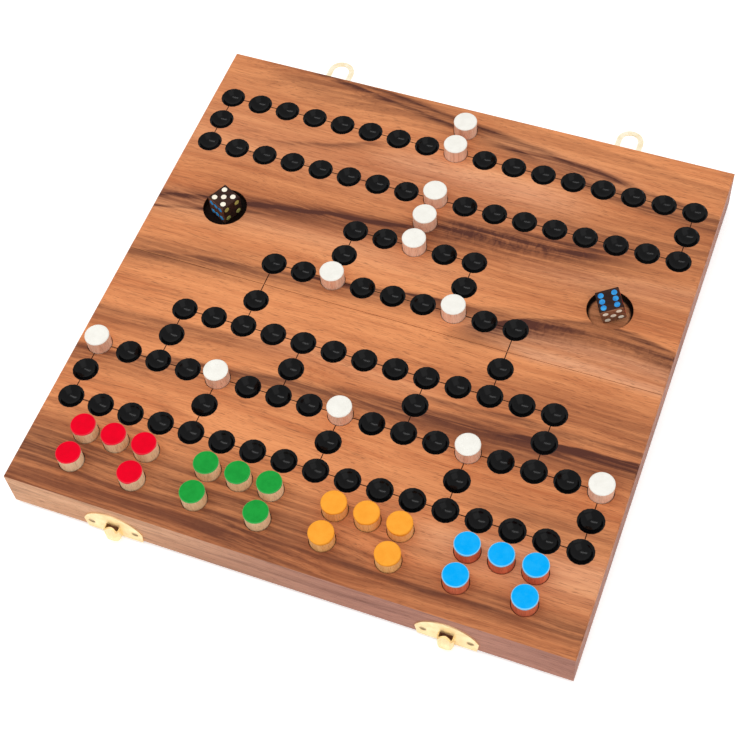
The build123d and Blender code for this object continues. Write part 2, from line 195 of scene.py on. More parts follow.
def timber_group():
    """Wood with its grain along X: bands, growth lines, veins, fibres, pores and curl.

    The bands, lines, fibres and pores are noises stretched along the grain, each finer than the one
    before. A vein is where a stretched noise passes its middle value, and the curl runs across the
    grain. Smoke darkens the wood, broken up by the lines and the curl.
    """
    tree, source, target = new_group(
        "timber",
        {"Vector": "v", "Grain Scale": "f", "Pale": "c", "Deep": "c", "Dark": "c", "Smoke": "f",
         "Curl": "f", "Veins": "f"},
        {"Colour": "c", "Roughness": "f", "Height": "f"},
    )
    grain = add(tree, "ShaderNodeVectorMath", {0: source["Vector"], "Scale": source["Grain Scale"]},
                operation="SCALE").outputs[0]
    drift = calc(tree, "SUBTRACT", noise(tree, scaled(tree, grain, 6, 20, 20)), 0.5)
    drift = calc(tree, "MULTIPLY", drift, 0.016)
    shift = add(tree, "ShaderNodeCombineXYZ", {1: drift, 2: drift}).outputs[0]
    flow = add(tree, "ShaderNodeVectorMath", {0: grain, 1: shift}, operation="ADD").outputs[0]
    broad = noise(tree, scaled(tree, flow, 4, 44, 44), detail=4, roughness=0.6)
    lines = noise(tree, scaled(tree, flow, 8, 330, 330), detail=5, roughness=0.65)
    bends = noise(tree, scaled(tree, flow, 5, 120, 120), detail=3, roughness=0.55)
    fibres = noise(tree, scaled(tree, flow, 60, 1900, 1900), detail=2)
    pores = noise(tree, scaled(tree, flow, 150, 3000, 3000), detail=1)
    curl = noise(tree, scaled(tree, grain, 330, 230, 230), detail=3, distortion=1.0)
    curl = calc(tree, "MULTIPLY", calc(tree, "SUBTRACT", curl, 0.5), source["Curl"])
    tone = calc(tree, "MULTIPLY_ADD", ramp(tree, broad, 0.34, 0.66), 0.55,
                calc(tree, "MULTIPLY", ramp(tree, lines, 0.34, 0.68), 0.32))
    tone = calc(tree, "MULTIPLY_ADD", calc(tree, "SUBTRACT", fibres, 0.5), 0.8, tone)
    tone = calc(tree, "MULTIPLY_ADD", curl, 0.35, tone, clamp=True)
    base = blend_colour(tree, tone, source["Pale"], source["Deep"])
    from_middle = calc(tree, "ABSOLUTE", calc(tree, "SUBTRACT", bends, 0.5))
    vein = ramp(tree, from_middle, 0.0, 0.04, 1.0, 0.0)
    vein = calc(tree, "MULTIPLY", vein, calc(tree, "MULTIPLY", source["Veins"], ramp(tree, broad, 0.35, 0.6)))
    smoke = calc(tree, "MULTIPLY", source["Smoke"], ramp(tree, lines, 0.34, 0.6, 0.6, 1.25))
    smoke = calc(tree, "MULTIPLY_ADD", calc(tree, "MULTIPLY", curl, 2.2), source["Smoke"], smoke)
    smoke = calc(tree, "MAXIMUM", smoke, vein, clamp=True)
    smoked = blend_colour(tree, smoke, base, source["Dark"])
    pits = ramp(tree, pores, 0.58, 0.7)
    colour = blend_colour(tree, calc(tree, "MULTIPLY", pits, 0.42), smoked, source["Dark"])
    rough = calc(tree, "MULTIPLY_ADD", fibres, 0.16, calc(tree, "MULTIPLY_ADD", pits, 0.1, 0.42))
    height = calc(tree, "SUBTRACT", calc(tree, "MULTIPLY", fibres, 0.5), pits)
    tree.links.new(colour, target.inputs["Colour"])
    tree.links.new(rough, target.inputs["Roughness"])
    tree.links.new(height, target.inputs["Height"])
    return tree


def mottle_group():
    """Soft uneven colour, as paint or metal has: two noises mix a colour towards a second one."""
    tree, source, target = new_group(
        "mottle",
        {"Vector": "v", "Scale": "f", "Base": "c", "Second": "c", "Amount": "f"},
        {"Colour": "c", "Value": "f", "Height": "f"},
    )
    coarse = noise(tree, source["Vector"], source["Scale"], detail=3)
    fine = noise(tree, source["Vector"], calc(tree, "MULTIPLY", source["Scale"], 9.0), detail=2)
    both = calc(tree, "MULTIPLY_ADD", fine, 0.35, calc(tree, "MULTIPLY", coarse, 0.65))
    value = ramp(tree, both, 0.35, 0.65)
    colour = blend_colour(tree, calc(tree, "MULTIPLY", value, source["Amount"]), source["Base"],
                          source["Second"])
    tree.links.new(colour, target.inputs["Colour"])
    tree.links.new(value, target.inputs["Value"])
    tree.links.new(fine, target.inputs["Height"])
    return tree


STREAK = streak_group()
TIMBER = timber_group()
MOTTLE = mottle_group()


def new_material(name, roughness=0.5, metallic=0.0):
    """An empty material. Returns it with its tree, shader and object coordinates."""
    material = bpy.data.materials.new(name)
    material.use_nodes = True
    tree = material.node_tree
    shader = tree.nodes["Principled BSDF"]
    shader.inputs["Roughness"].default_value = roughness
    shader.inputs["Metallic"].default_value = metallic
    position = tree.nodes.new("ShaderNodeTexCoord").outputs["Object"]
    return material, tree, shader, position


def wire(tree, shader, colour, roughness, height, depth=0.0001, strength=0.4):
    """Feeds colour, roughness and a bump to the shader."""
    tree.links.new(colour, shader.inputs["Base Color"])
    tree.links.new(roughness, shader.inputs["Roughness"])
    bump = add(tree, "ShaderNodeBump", {"Height": height, "Distance": depth, "Strength": strength})
    tree.links.new(bump.outputs[0], shader.inputs["Normal"])


def streak(middle, slope, above, below, start, end, fade, strength, bend=0.0):
    """One streak: lengths in millimetres, bend per millimetre."""
    return dict(middle=middle, slope=slope, above=above, below=below, start=start, end=end, fade=fade,
                strength=strength, bend=bend)


# Streaks of the playing surface, in the order of the helper's arguments: middle, slope, widths above and
# below, start, end, fade, strength. Broad ones are brown smoke and narrow ones its dark cores.
DARK_STREAKS = [
    streak(127.5, -0.155, 1.8, 16.0, -75, 170, 35, 0.62),
    streak(121.5, -0.174, 1.6, 4.5, -115, 50, 20, 0.85),
    streak(127.0, -0.155, 1.0, 3.2, -75, 150, 25, 0.8),
    streak(136.0, -0.08, 1.2, 12.0, -10, 190, 30, 0.24),
    streak(113.5, -0.11, 1.2, 6.5, 55, 170, 20, 0.7),
    streak(128.0, 0.0, 30.0, 14.0, -125, -10, 40, 0.46),
    streak(111.0, 0.29, 1.2, 3.4, -100, -40, 14, 0.42),
    streak(88.0, -0.02, 9.0, 14.0, 75, 190, 40, 0.24),
    streak(52.5, 0.158, 5.0, 13.0, -190, 115, 35, 0.56),
    streak(53.0, 0.162, 1.2, 3.8, -190, 15, 50, 0.92),
    streak(50.0, 0.205, 2.4, 1.4, -190, -80, 30, 0.8),
    streak(57.5, 0.08, 4.0, 10.0, -5, 102, 18, 0.68),
    streak(72.0, 0.05, 4.0, 9.0, 60, 190, 40, 0.4),
    streak(9.0, 0.1, 6.0, 9.0, -190, -70, 40, 0.36),
    streak(7.0, 0.115, 1.4, 9.0, -170, 70, 40, 0.6),
    streak(7.2, 0.12, 0.9, 3.0, -115, 40, 30, 0.8),
    streak(-28.5, 0.805, 1.4, 13.0, 40, 170, 16, 0.8, bend=-0.0035),
    streak(-29.0, 0.805, 1.0, 3.4, 80, 170, 22, 0.6, bend=-0.0035),
    streak(-36.5, 0.805, 1.2, 2.2, 46, 150, 16, 0.6, bend=-0.0035),
    streak(-32.0, 0.0, 14.0, 16.0, 60, 190, 40, 0.26),
    streak(-59.5, 0.077, 2.5, 11.0, -190, 190, 20, 0.6, bend=-0.0003),
    streak(-59.5, 0.077, 1.2, 3.2, -190, 190, 10, 0.66, bend=-0.00032),
    streak(-75.5, 0.0, 4.0, 8.0, -190, -95, 25, 0.66),
    streak(-56.5, 0.06, 2.4, 12.0, 0, 92, 25, 0.55),
    streak(-57.0, 0.045, 1.0, 4.2, 80, 190, 14, 0.96),
    streak(-59.0, 0.045, 2.4, 11.0, 80, 190, 20, 0.5),
    streak(-41.0, 0.05, 2.0, 10.0, -190, -50, 40, 0.5),
    streak(-46.0, 0.015, 1.0, 4.0, 30, 190, 20, 0.5),
    streak(-95.0, 0.0, 8.0, 12.0, 85, 190, 30, 0.28),
    streak(-134.0, 0.0, 17.0, 70.0, -190, 20, 50, 0.62),
    streak(-114.0, -0.02, 1.0, 3.0, -190, 0, 40, 0.36),
    streak(-127.0, 0.01, 1.4, 4.2, -190, 60, 40, 0.5),
    streak(-136.0, 0.0, 1.4, 5.0, -190, 50, 50, 0.6),
    streak(-141.0, 0.012, 3.0, 14.0, -190, 190, 30, 0.42),
    streak(-145.5, 0.008, 1.4, 4.2, -190, 190, 30, 0.5),
]
PALE_STREAKS = [
    streak(76.0, 0.0, 30.0, 14.0, -190, 80, 40, 0.28),
    streak(122.0, -0.1, 6.0, 8.0, 20, 100, 30, 0.35),
    streak(89.0, 0.0, 9.0, 10.0, -40, 70, 30, 0.9),
    streak(-3.0, -0.04, 4.0, 3.0, 60, 190, 25, 0.95),
    streak(2.5, 0.0, 4.0, 6.5, 35, 190, 25, 0.75),
    streak(42.0, 0.05, 6.0, 9.0, 60, 190, 30, 0.4),
    streak(27.0, 0.0, 8.0, 10.0, -190, 20, 50, 0.35),
    streak(-42.0, 0.01, 6.0, 7.0, -60, 40, 30, 0.3),
    streak(-117.0, 0.0, 8.0, 12.0, 60, 190, 30, 0.75),
]
# Patches with curl across the grain
CURLY_PATCHES = [
    streak(52.0, 0.05, 7.0, 8.0, 12, 82, 14, 1.0),
    streak(8.0, 0.0, 7.0, 9.0, 60, 190, 20, 0.7),
]


def streak_mask(tree, position, streaks):
    """Strongest of several streaks at each point."""
    total = None
    for row in streaks:
        mask = place(tree, STREAK, {
            "Vector": position, "Middle": row["middle"] * MM, "Slope": row["slope"],
            "Bend": row["bend"] / MM, "Above": row["above"] * MM,
            "Below": row["below"] * MM, "From": row["start"] * MM, "To": row["end"] * MM,
            "Fade": row["fade"] * MM, "Strength": row["strength"],
        })["Mask"]
        total = mask if total is None else calc(tree, "MAXIMUM", total, mask)
    return total


def playing_surface():
    """Figured hardwood of the panels and rails, with the streaks that cross the board's top.

    Below the top edges the wood takes the tone of the outer faces, tan at the left and mauve at the
    right. The walls and floors of the peg holes are black.
    """
    material, tree, shader, position = new_material("playing_surface")
    coarse = noise(tree, scaled(tree, position, 11, 28, 28), detail=2)
    fine = noise(tree, scaled(tree, position, 45, 190, 190), detail=3)
    wander = calc(tree, "MULTIPLY_ADD", calc(tree, "SUBTRACT", coarse, 0.5), 0.011,
                  calc(tree, "MULTIPLY", calc(tree, "SUBTRACT", fine, 0.5), 0.0028))
    shift = add(tree, "ShaderNodeCombineXYZ", {1: wander}).outputs[0]
    wandering = add(tree, "ShaderNodeVectorMath", {0: position, 1: shift}, operation="ADD").outputs[0]
    smoke = streak_mask(tree, wandering, DARK_STREAKS)
    clouds = ramp(tree, noise(tree, scaled(tree, position, 3, 20, 20), detail=2), 0.42, 0.72, 0.0, 0.2)
    smoke = calc(tree, "ADD", smoke, clouds, clamp=True)
    x, y, z = add(tree, "ShaderNodeSeparateXYZ", {0: position}).outputs
    below = ramp(tree, z, BOARD_TOP - 0.0012, BOARD_TOP - 0.0007, 1.0, 0.0)
    smoke = calc(tree, "MULTIPLY", smoke, calc(tree, "SUBTRACT", 1.0, below))
    across = ramp(tree, x, -0.12, 0.06)
    light = streak_mask(tree, wandering, PALE_STREAKS)
    pale = blend_colour(tree, light, srgb(233, 153, 100), srgb(246, 182, 138))
    deep = blend_colour(tree, light, srgb(188, 108, 66), srgb(212, 138, 100))
    side_pale = blend_colour(tree, across, srgb(238, 186, 146), srgb(198, 142, 122))
    side_deep = blend_colour(tree, across, srgb(204, 148, 112), srgb(148, 98, 84))
    pale = blend_colour(tree, below, pale, side_pale)
    deep = blend_colour(tree, below, deep, side_deep)
    curl = calc(tree, "MULTIPLY_ADD", streak_mask(tree, position, CURLY_PATCHES), 0.4, 0.08)
    wood = place(tree, TIMBER, {"Vector": position, "Grain Scale": 1.0, "Pale": pale, "Deep": deep,
                                "Dark": srgb(86, 48, 38), "Smoke": smoke, "Curl": curl, "Veins": 0.3})
    inside_x = ramp(tree, calc(tree, "ABSOLUTE", x), SIDE_X - 0.003, SIDE_X - 0.002, 1.0, 0.0)
    inside_y = calc(tree, "MULTIPLY", ramp(tree, y, FRONT_Y + 0.002, FRONT_Y + 0.003),
                    ramp(tree, y, BACK_Y - 0.003, BACK_Y - 0.002, 1.0, 0.0))
    off_fold = ramp(tree, calc(tree, "ABSOLUTE", calc(tree, "SUBTRACT", y, FOLD_Y)), 0.001, 0.0015)
    sunk = calc(tree, "MULTIPLY", ramp(tree, z, BOARD_TOP - 0.0006, BOARD_TOP - 0.0002, 1.0, 0.0),
                ramp(tree, z, BOARD_TOP - 0.0045, BOARD_TOP - 0.0042))
    hole = calc(tree, "MULTIPLY", calc(tree, "MULTIPLY", inside_x, inside_y),
                calc(tree, "MULTIPLY", off_fold, sunk))
    colour = blend_colour(tree, hole, wood["Colour"], srgb(8, 7, 7))
    wire(tree, shader, colour, wood["Roughness"], wood["Height"])
    shader.inputs["Specular IOR Level"].default_value = 0.08
    return material


def dowel_wood(name, pale, deep):
    """Bare dowel wood with its grain standing upright."""
    material, tree, shader, position = new_material(name)
    turned = add(tree, "ShaderNodeMapping", {"Vector": position, "Rotation": (0, np.pi / 2, 0)}).outputs[0]
    wood = place(tree, TIMBER, {"Vector": turned, "Grain Scale": 1.6, "Pale": pale, "Deep": deep,
                                "Dark": srgb(120, 70, 45), "Smoke": 0.0, "Curl": 0.2, "Veins": 0.2})
    wire(tree, shader, wood["Colour"], wood["Roughness"], wood["Height"])
    return material


def paint(name, base, second, roughness=0.5, amount=0.5, edge_sheen=None):
    """Brushed paint with a little unevenness. With edge_sheen set, a peg's rounded top edge is painted
    that paler colour, a painted sheen.
    """
    material, tree, shader, position = new_material(name, roughness)
    coat = place(tree, MOTTLE, {"Vector": position, "Scale": 260.0, "Base": base, "Second": second,
                                "Amount": amount})
    rough = calc(tree, "MULTIPLY_ADD", coat["Value"], 0.12, roughness - 0.06)
    colour = coat["Colour"]
    if edge_sheen:
        z = add(tree, "ShaderNodeSeparateXYZ", {0: position}).outputs[2]
        # Painted sheen: the rounded top edge of the peg is painted a paler colour
        share = ramp(tree, z, PEG_TOP - 0.2 * MM, PEG_TOP + 0.05 * MM, 0.85, 0.0)
        colour = blend_colour(tree, share, colour, edge_sheen)
    wire(tree, shader, colour, rough, coat["Height"], depth=0.00015, strength=0.25)
    shader.inputs["Specular IOR Level"].default_value = 0.01
    return material


def black_lacquer():
    """Black lacquer inside the peg holes, whose gloss comes from the shader and the lamps."""
    material, tree, shader, position = new_material("black_lacquer")
    coat = place(tree, MOTTLE, {"Vector": position, "Scale": 60.0, "Base": srgb(2, 2, 3),
                                "Second": srgb(8, 7, 8), "Amount": 0.6})
    rough = calc(tree, "MULTIPLY_ADD", coat["Value"], 0.04, 0.14)
    wire(tree, shader, coat["Colour"], rough, coat["Height"], depth=0.0001, strength=0.03)
    shader.inputs["Specular IOR Level"].default_value = 0.13
    return material


def brass(name, base, second, plates=()):
    """Pale brass with faint cloudy tarnish.

    plates lists the x of the middle of each pressed plate. Round each of its two nails the metal is
    painted dark as a painted shadow in the nail's dimple, by the distance from the nail in the plane of
    the plate, and darkest below the nail.
    """
    material, tree, shader, position = new_material(name, 0.3, 1.0)
    metal = place(tree, MOTTLE, {"Vector": position, "Scale": 190.0, "Base": base, "Second": second,
                                 "Amount": 0.7})
    rough = calc(tree, "MULTIPLY_ADD", metal["Value"], 0.16, 0.34)
    colour = metal["Colour"]
    x, _, z = add(tree, "ShaderNodeSeparateXYZ", {0: position}).outputs
    for plate_x in plates:
        sideways = calc(tree, "ABSOLUTE", calc(tree, "SUBTRACT", x, plate_x))
        sideways = calc(tree, "SUBTRACT", sideways, NAIL_SPACING / 2 * MM)
        upwards = calc(tree, "SUBTRACT", z, NAIL_Z)
        flat = add(tree, "ShaderNodeCombineXYZ", {0: sideways, 1: upwards}).outputs[0]
        away = add(tree, "ShaderNodeVectorMath", {0: flat}, operation="LENGTH").outputs["Value"]
        # Painted shadow of the nail's dimple: the metal is painted darker near each nail, most below it
        nail_shade = calc(tree, "MULTIPLY", ramp(tree, away, 1.3 * MM, 2.3 * MM, 1.0, 0.0),
                    ramp(tree, upwards, -1.8 * MM, 0.8 * MM, 1.0, 0.45))
        colour = blend_colour(tree, nail_shade, colour, srgb(104, 72, 28))
    wire(tree, shader, colour, rough, metal["Height"], depth=0.0001, strength=0.3)
    return material


def turning(turn, tilt_x, tilt_y):
    """Rotation of a die: tilt about X, then about Y, then the turn about Z, in degrees."""
    z = Matrix.Rotation(np.radians(turn), 3, "Z")
    y = Matrix.Rotation(np.radians(tilt_y), 3, "Y")
    x = Matrix.Rotation(np.radians(tilt_x), 3, "X")
    return np.array(z @ y @ x)


DIE_EDGE = 12.3
DIE_TURNS = {"die_left": turning(-26.2, 0, 0), "die_right": turning(27.2, 7.0, -14.0)}


def die_wood(name, lit_share):
    """Dark stained wood of a die. Its own -y face is painted paler by the share lit_share, partly as paler
    wood and partly as a painted lit side.

    That face is where the distance from the die's middle along its own -y axis is near half the edge.
    """
    material, tree, shader, position = new_material(f"{name}_wood")
    low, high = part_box(name)
    axis = Vector(-DIE_TURNS[name][:, 1])
    along_axis = add(tree, "ShaderNodeVectorMath", {0: position, 1: axis}, operation="DOT_PRODUCT")
    surface = float(axis.dot((low + high) / 2)) + DIE_EDGE / 2 * MM
    # Painted lit side: the -y face is painted paler, partly paler wood and partly painted light
    lit_face = ramp(tree, along_axis.outputs["Value"], surface - 0.5 * MM, surface - 0.2 * MM, 0.0, lit_share)
    pale = blend_colour(tree, lit_face, srgb(74, 46, 36), srgb(206, 140, 104))
    deep = blend_colour(tree, lit_face, srgb(34, 22, 21), srgb(140, 88, 64))
    wood = place(tree, TIMBER, {"Vector": position, "Grain Scale": 1.8, "Pale": pale, "Deep": deep,
                                "Dark": srgb(16, 11, 13), "Smoke": 0.25, "Curl": 0.5, "Veins": 0.5})
    wire(tree, shader, wood["Colour"], wood["Roughness"], wood["Height"])
    shader.inputs["Specular IOR Level"].default_value = 0.08
    return material


WOOD = playing_surface()
NAIL_SPACING = 23.6
NAIL_Z = float(sum(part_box("catch_plate_nails"), Vector()).z / 2)
PLATE_X = [float(sum(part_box(f"catch_plate_{side}"), Vector()).x / 2) for side in ("left", "right")]
BRASS = brass("brass", srgb(246, 224, 176), srgb(222, 192, 136))
RING_BRASS = brass("ring_brass", srgb(255, 246, 222), srgb(236, 214, 168))
PLATE_BRASS = brass("plate_brass", srgb(255, 236, 190), srgb(240, 208, 154), PLATE_X)
LACQUER = black_lacquer()
DIE_WOODS = {"die_left": die_wood("die_left", 0.25), "die_right": die_wood("die_right", 0.75)}
DOWELS = {
    "white": dowel_wood("white_peg_dowel", srgb(252, 212, 186), srgb(226, 164, 132)),
    "red": dowel_wood("red_peg_dowel", srgb(255, 228, 190), srgb(232, 186, 138)),
    "green": dowel_wood("green_peg_dowel", srgb(255, 226, 184), srgb(230, 184, 134)),
    "orange": dowel_wood("orange_peg_dowel", srgb(255, 204, 134), srgb(240, 166, 92)),
    "blue": dowel_wood("blue_peg_dowel", srgb(228, 124, 88), srgb(190, 84, 58)),
}
PAINTS = {
    "white": paint("white_paint", srgb(243, 241, 233), srgb(230, 227, 218)),
    "red": paint("red_paint", srgb(236, 6, 38), srgb(214, 8, 34), edge_sheen=srgb(240, 60, 76)),
    "green": paint("green_paint", srgb(34, 158, 62), srgb(24, 134, 50), edge_sheen=srgb(74, 180, 96)),
    "orange": paint("orange_paint", srgb(250, 168, 58), srgb(240, 150, 44)),
    "blue": paint("blue_paint", srgb(4, 168, 244), srgb(40, 180, 246), edge_sheen=srgb(150, 218, 250)),
}


def dress(material, name):
    """Gives a CAD node its material."""
    mesh = nodes[name].data
    mesh.materials.clear()
    mesh.materials.append(material)


for name in nodes:
    if name.endswith(("_panel", "_rail")):
        dress(WOOD, name)
    elif name.startswith(("white_blocker", "red_peg", "green_peg", "orange_peg", "blue_peg")):
        dress(DOWELS[name.split("_")[0]], name)
    elif name.startswith("die_"):
        dress(DIE_WOODS[name], name)
    elif "_plate_" in name:
        dress(PLATE_BRASS, name)
    elif "_ring_" in name:
        dress(RING_BRASS, name)
    else:
        dress(BRASS, name)


# New surfaces

def grid_surface(name, points, body, material, close_around=True, close_end=False):
    """A mesh from an array of points [copy, along, around, xyz], with quads between neighbours.

    Copies are separate surfaces in one mesh. Where close_around is set, the last column joins the
    first. Where close_end is set, one flat face closes the last row of each copy. Faces are rows of
    indices worked out for the whole array at once.
    """
    copies, along, around = points.shape[:3]
    index = np.arange(copies * along * around).reshape(copies, along, around)
    faces = index[:, -1].tolist() if close_end else []
    if close_around:
        index = np.concatenate([index, index[:, :, :1]], axis=2)
    quads = np.stack([index[:, :-1, :-1], index[:, :-1, 1:], index[:, 1:, 1:], index[:, 1:, :-1]], axis=-1)
    mesh = bpy.data.meshes.new(name)
    mesh.from_pydata(points.reshape(-1, 3).tolist(), [], quads.reshape(-1, 4).tolist() + faces)
    mesh.polygons.foreach_set("use_smooth", np.ones(len(mesh.polygons), bool))
    mesh.materials.append(material)
    piece = bpy.data.objects.new(name, mesh)
    bpy.context.scene.collection.objects.link(piece)
    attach(piece, body)


def dishes(centres, profile, around):
    """Points of round dishes: each profile point (radius, height) is carried round each centre."""
    angle = np.linspace(0, 2 * np.pi, around, endpoint=False)
    radius, height = profile[:, 0] * MM, profile[:, 1] * MM
    x = centres[:, None, None, 0] + radius[None, :, None] * np.cos(angle)
    y = centres[:, None, None, 1] + radius[None, :, None] * np.sin(angle)
    z = np.broadcast_to(BOARD_TOP + height[None, :, None], x.shape)
    return np.stack([x, y, z], axis=-1)


def empty_hole_centres(rows):
    """Centres of the holes in the given rows that hold no peg."""
    places = [(column, row) for row in rows for column in HOLE_ROWS[row]]
    pairs = [place_at for place_at in places if place_at not in PEG_PLACES]
    columns, row_numbers = np.array(pairs).T
    return np.stack([column_x(columns), row_y(row_numbers)], axis=-1)


def bowl_profile(radius, depth, rings):
    """Radius and height of a round bowl, from its eased rim to near its middle.

    Its height is that of a sphere through the rim and the lowest point, at even steps of the angle
    from the sphere's middle.
    """
    sphere = (radius**2 + depth**2) / (2 * depth)
    angle = np.linspace(np.arcsin(radius / sphere), 0.06, rings)
    bowl = np.stack([sphere * np.sin(angle), sphere - depth - sphere * np.cos(angle)], axis=-1)
    return np.concatenate([[[radius + 0.16, 0.02]], bowl])


HOUSE_PEGS = [(1, -1), (2, -1), (3, -1), (1, -2), (3, -2)]
PEG_PLACES = {(column, 2) for column in range(0, COLUMNS, 4)}
PEG_PLACES |= {(6, 6), (10, 6), (8, 8), (8, 9), (8, 10), (8, 12), (8, 13)}
PEG_PLACES |= {(column + 4 * house, row) for house in range(4) for column, row in HOUSE_PEGS}
BOWL_RINGS, BOWL_SIDES = 5, 18
for half, rows in (("near", range(-2, FIRST_FAR_ROW)), ("far", range(FIRST_FAR_ROW, 14))):
    bowl = bowl_profile(HOLE_RADIUS - 0.04, HOLE_DEPTH - 0.05, BOWL_RINGS)
    bowls = dishes(empty_hole_centres(rows), bowl, BOWL_SIDES)
    grid_surface(f"{half}_hole_linings", bowls, f"{half}_half", LACQUER,
                 close_end=True)


def well_lining():
    """Dark walls of the two dice wells and a floor that is bare only in the right one, as painted shade in
    the recesses; the left well's whole floor is painted dark as the shade under its die.

    The wood is bare near the right well's middle, by the distance from it in plan.
    """
    material, tree, shader, position = new_material("well_lining")
    from_right = add(tree, "ShaderNodeVectorMath", {0: position, 1: (WELL_X * MM, WELL_Y, 0)},
                     operation="SUBTRACT").outputs[0]
    flat = scaled(tree, from_right, 1, 1, 0)
    away = add(tree, "ShaderNodeVectorMath", {0: flat}, operation="LENGTH").outputs["Value"]
    # Painted shade: dark towards the right well's wall, and dark all over the left well
    well_shade = ramp(tree, away, (WELL_RADIUS - 2.4) * MM, (WELL_RADIUS - 0.8) * MM)
    pale = blend_colour(tree, well_shade, srgb(240, 160, 112), srgb(34, 21, 16))
    deep = blend_colour(tree, well_shade, srgb(198, 122, 82), srgb(16, 10, 8))
    wood = place(tree, TIMBER, {"Vector": position, "Grain Scale": 1.3, "Pale": pale, "Deep": deep,
                                "Dark": srgb(14, 9, 8), "Smoke": 0.2, "Curl": 0.3, "Veins": 0.3})
    wire(tree, shader, wood["Colour"], wood["Roughness"], wood["Height"])
    shader.inputs["Specular IOR Level"].default_value = 0.03
    return material


WELL_Y = float(row_y(FIRST_FAR_ROW)) + (WELL_ROW - FIRST_FAR_ROW) * PITCH * MM
WELL_SIDES = 64
WELL_FLOOR = 0.04 - WELL_DEPTH
WELL_PROFILE = np.array([
    [WELL_RADIUS + 0.15, 0.02], [WELL_RADIUS - 0.05, -0.15], [WELL_RADIUS - 0.06, 0.5 - WELL_DEPTH],
    [11.5, 0.07 - WELL_DEPTH], [8.0, WELL_FLOOR], [4.0, WELL_FLOOR],
])
well_centres = np.array([[-WELL_X * MM, WELL_Y], [WELL_X * MM, WELL_Y]])
wells = dishes(well_centres, WELL_PROFILE, WELL_SIDES)
grid_surface("well_linings", wells, "far_half", well_lining(), close_end=True)


# Painted lines that join neighbouring holes

def join_lines():
    """Ends of the lines between neighbouring holes, for the near half and the far half.

    A line that crosses the fold is cut there.
    """
    lines = {"near": [], "far": []}
    from_fold = 0.25 * MM
    for row, columns in HOLE_ROWS.items():
        if row < 0:
            continue
        half = "near" if row <= LAST_NEAR_ROW else "far"
        y = float(row_y(row))
        for column in columns:
            x = float(column_x(column))
            reach = HOLE_RADIUS * MM
            if column + 1 in columns:
                lines[half].append(((x + reach, y), (float(column_x(column + 1)) - reach, y)))
            if column in HOLE_ROWS.get(row + 1, ()):
                low, high = y + reach, float(row_y(row + 1)) - reach
                if low < FOLD_Y < high:
                    lines["near"].append(((x, low), (x, FOLD_Y - from_fold)))
                    lines["far"].append(((x, FOLD_Y + from_fold), (x, high)))
                else:
                    lines[half].append(((x, low), (x, high)))
    return lines


def line_strips(ends, width, rise):
    """Thin rounded strips between pairs of points.

    Across each strip the height is rise (1 - s^2), where s runs from -1 to 1.
    """
    ends = np.array(ends)
    start, end = ends[:, 0], ends[:, 1]
    along = (end - start) / np.linalg.norm(end - start, axis=1, keepdims=True)
    side = np.stack([-along[:, 1], along[:, 0]], axis=-1)
    step = np.array([-1, -0.5, 0, 0.5, 1])
    share = np.linspace(0, 1, 4)
    middle = start[:, None] + (end - start)[:, None] * share[None, :, None]
    flat = middle[:, :, None] - side[:, None, None] * (step * width / 2)[None, None, :, None]
    height = np.broadcast_to(BOARD_TOP + rise * (1 - step**2) - 0.002 * MM, flat.shape[:3])
    return np.concatenate([flat, height[..., None]], axis=-1)


LINE_WIDTH, LINE_RISE = 0.55, 0.04
INK = paint("line_ink", srgb(38, 22, 16), srgb(62, 38, 28), roughness=0.55)
for half, ends in join_lines().items():
    strips = line_strips(ends, LINE_WIDTH * MM, LINE_RISE * MM)
    grid_surface(f"{half}_lines", strips, f"{half}_half", INK, close_around=False)


# Paint on the pegs' tops

def paint_cap(name, colour, random):
    """A coat of paint over a peg's top.

    The coat is a flat disc with a rounded rim. Its lower edge stands at a height that is a sum of
    sines of the angle, with random phases, so it runs unevenly down the side.
    """
    low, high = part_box(name)
    centre = (low + high) / 2
    radius = (high.x - low.x) / 2 / MM
    around = 56
    angle = np.linspace(0, 2 * np.pi, around, endpoint=False)
    waves = np.arange(1, 10)
    size, drop = PAINT_EDGES[colour]
    phases = random.uniform(0, 2 * np.pi, waves.size)
    edge = (np.sin(angle[:, None] * waves + phases) * size / np.sqrt(waves)).sum(axis=1) * 0.5
    edge = np.maximum(drop + edge, 0.46)
    skirt = np.stack([np.full(around, radius - 0.03), -edge - 0.06], axis=-1)
    lip = np.stack([np.full(around, radius + 0.07), -edge], axis=-1)
    profile = [(radius + 0.07, -0.42), (radius - 0.1, -0.18), (radius - 0.42, 0.02), (radius - 0.75, 0.07),
               (4.6, 0.09), (2.5, 0.10)]
    rings = np.stack([skirt, lip] + [np.broadcast_to(np.array(point), (around, 2)) for point in profile])
    x = centre.x + rings[..., 0] * MM * np.cos(angle)
    y = centre.y + rings[..., 0] * MM * np.sin(angle)
    z = high.z + rings[..., 1] * MM
    points = np.stack([x, y, z], axis=-1)[None]
    grid_surface(f"{name}_paint", points, name, PAINTS[colour], close_end=True)


# How far the paint's edge wavers and how far down the peg it hangs, in millimetres
PAINT_EDGES = {"white": (0.10, 0.55), "red": (0.46, 0.8), "green": (0.32, 0.7), "orange": (0.5, 1.6),
               "blue": (0.44, 0.9)}
peg_names = sorted(name for name in nodes if name.startswith("white_blocker") or "_peg_" in name)
random = np.random.default_rng(7)
for name in peg_names:
    paint_cap(name, name.split("_")[0], random)


# Pips of the dice

def pip_spots():
    """Where the pips of each count stand on a unit face, as steps of the spacing."""
    corners = [(-1, -1), (1, 1), (-1, 1), (1, -1)]
    return {1: [(0, 0)], 2: corners[:2], 3: corners[:2] + [(0, 0)], 4: corners, 5: corners + [(0, 0)],
            6: corners + [(-1, 0), (1, 0)]}


